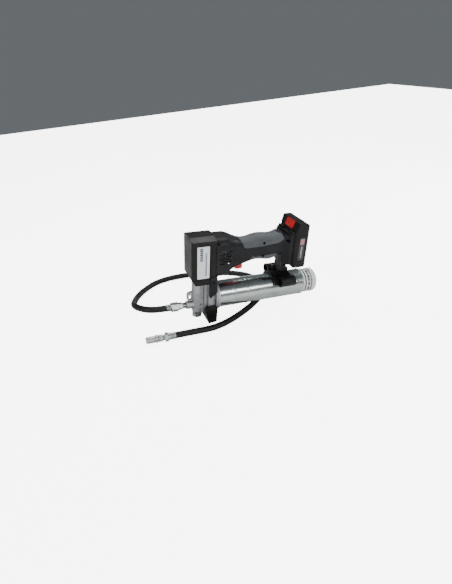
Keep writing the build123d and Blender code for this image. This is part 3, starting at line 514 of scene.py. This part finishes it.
paint(moulded("seal_rubber", (0.02, 0.02, 0.02), 0.7, 0.5, 0.2), "barrel_gasket")


# ---- Hose --------------------------------------------------------------------------------------------
# High-pressure hose, rubber over braid, with the marks of the cloth it was cured in. It leaves the
# front ferrule, drops to the surface, loops behind the gun and under the barrel to the rear ferrule.

hose_radius = 0.00675
hose_points = (
    (-0.0887, 0.0, 0.05045), (-0.1095, 0.0, 0.0529), (-0.1325, 0.013, 0.053), (-0.1495, 0.050, 0.0447),
    (-0.1390, 0.102, 0.0265), (-0.1165, 0.154, 0.0115), (-0.0715, 0.192, 0.00675), (-0.0175, 0.194, 0.00675),
    (0.0405, 0.179, 0.00675), (0.0955, 0.156, 0.00675), (0.1440, 0.118, 0.00675),
    (0.1575, 0.068, 0.00675), (0.1365, 0.020, 0.00675), (0.0945, -0.012, 0.00675),
    (0.0425, -0.038, 0.00675), (-0.0015, -0.0505, 0.00675), (-0.0435, -0.0483, 0.0095),
    (-0.085, -0.042, 0.0095),
)


def hose_rubber():
    """Cloth-wrapped rubber: the weave's marks run with the curve's own mapping."""
    shader = Shader("hose_rubber")
    mapping = shader.node("ShaderNodeTexCoord", output="UV")
    across_hose = shader.node("ShaderNodeMapping", inputs={"Vector": mapping, "Scale": (700.0, 40.0, 1.0)})
    x, y = shader.split(across_hose)[:2]
    weave = (x * 1.6 + y * 3.1).sine() * (x * 1.6 - y * 3.1).sine()
    clouds = shader.noise(70.0, 4.0)
    dust = shader.noise(300.0, 5.0, 0.7).spread(0.6, 0.72)
    base = shader.blend(clouds.spread(0.4, 0.7), (0.004, 0.004, 0.0042), (0.009, 0.009, 0.0095))
    shader.colour(shader.blend(dust * 0.15, base, (0.2, 0.19, 0.18)))
    shader.rough(0.42 + clouds * 0.18)
    shader.surface.inputs["Specular IOR Level"].default_value = 0.3
    shader.relief(weave * 0.5 + clouds, 0.0002, 0.0, 0.5)
    return shader.material


def hose_curve():
    data = bpy.data.curves.new("hose_line", "CURVE")
    data.dimensions = "3D"
    line = data.splines.new("NURBS")
    line.points.add(len(hose_points) - 1)
    for point, place in zip(line.points, hose_points):
        point.co = (*place, 1.0)
    line.order_u = 3
    line.use_endpoint_u = True
    line.resolution_u = 16
    data.bevel_depth = hose_radius
    data.bevel_resolution = 8
    data.use_fill_caps = True
    data.materials.append(hose_rubber())
    piece = bpy.data.objects.new("hose_skin", data)
    bpy.context.scene.collection.objects.link(piece)
    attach(piece, "gun")
    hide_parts("hose")
    return piece


hose_skin = hose_curve()


# ---- Coupler -----------------------------------------------------------------------------------------
# Grease coupler on the hose's end: a hexagon nut, a turned body, a knurled sleeve and four hardened
# jaws that grip a nipple.

paint(turned_steel("coupler_steel", (0.55, 0.55, 0.54), 0.26), "coupler_body", "coupler_sleeve")
paint(turned_steel("hardened_jaws", (0.30, 0.30, 0.31), 0.3), "coupler_jaws")


# ---- Floor, light and camera -------------------------------------------------------------------------
# A plain white floor, soft boxes above, in front and at both sides, and the camera in front on
# the left.

floor_half = 3.0
floor_depth = 0.0004    # the floor lies just under the gun, so that the two don't share a plane


def floor():
    mesh = bmesh.new()
    for side_x, side_y in ((-1, -1), (1, -1), (1, 1), (-1, 1)):
        mesh.verts.new((side_x * floor_half, side_y * floor_half, -floor_depth))
    mesh.faces.new(mesh.verts)
    data = bpy.data.meshes.new("floor")
    mesh.to_mesh(data)
    mesh.free()
    shader = Shader("floor_white")
    cloud = shader.noise(3.0, 2.0)
    shader.colour(shader.blend(cloud * 0.1, (0.93, 0.93, 0.93), (0.9, 0.9, 0.9)))
    shader.rough(0.7)
    seen = shader.node("ShaderNodeLightPath", output="Is Camera Ray")
    shader.put(shader.surface.inputs["Emission Color"], shader.blend(seen, (0.0, 0.0, 0.0), (1.0, 1.0, 1.0)))
    shader.surface.inputs["Emission Strength"].default_value = 6.0
    data.materials.append(shader.material)
    piece = bpy.data.objects.new("floor", data)
    bpy.context.scene.collection.objects.link(piece)


def soft_box(name, place, target, size, power):
    data = bpy.data.lights.new(name, "AREA")
    data.shape = "RECTANGLE"
    data.size, data.size_y = size
    data.energy = power
    lamp = bpy.data.objects.new(name, data)
    bpy.context.scene.collection.objects.link(lamp)
    lamp.location = place
    lamp.rotation_euler = (Vector(target) - Vector(place)).to_track_quat("-Z", "Y").to_euler()


def studio():
    world = bpy.data.worlds.new("studio")
    bpy.context.scene.world = world
    world.use_nodes = True
    world.node_tree.nodes["Background"].inputs["Color"].default_value = (0.86, 0.93, 1.0, 1.0)
    world.node_tree.nodes["Background"].inputs["Strength"].default_value = 0.16
    middle = (0.08, 0.0, 0.08)
    soft_box("top_box", (0.2, 0.5, 1.2), middle, (0.9, 0.35), 12.0)
    soft_box("front_strip", (0.2, -1.25, 0.75), middle, (1.4, 0.16), 13.0)
    soft_box("left_box", (-1.2, -0.5, 0.8), middle, (0.3, 0.8), 8.0)
    soft_box("right_box", (1.3, 0.2, 0.6), middle, (0.3, 0.7), 6.0)


def camera():
    data = bpy.data.cameras.new("camera")
    data.sensor_width = 36.0
    data.lens = 24.66
    data.clip_start = 0.01
    data.clip_end = 20.0
    eye = bpy.data.objects.new("camera", data)
    bpy.context.scene.collection.objects.link(eye)
    right = Vector((0.92979771, -0.3613979, -0.06976942))
    up = Vector((0.24880347, 0.47742819, 0.84270942))
    matrix = Matrix((right, up, right.cross(up))).transposed().to_4x4()
    matrix.translation = (-0.18906, -0.68499, 0.50802)
    eye.matrix_world = matrix
    bpy.context.scene.camera = eye


floor()
studio()
camera()
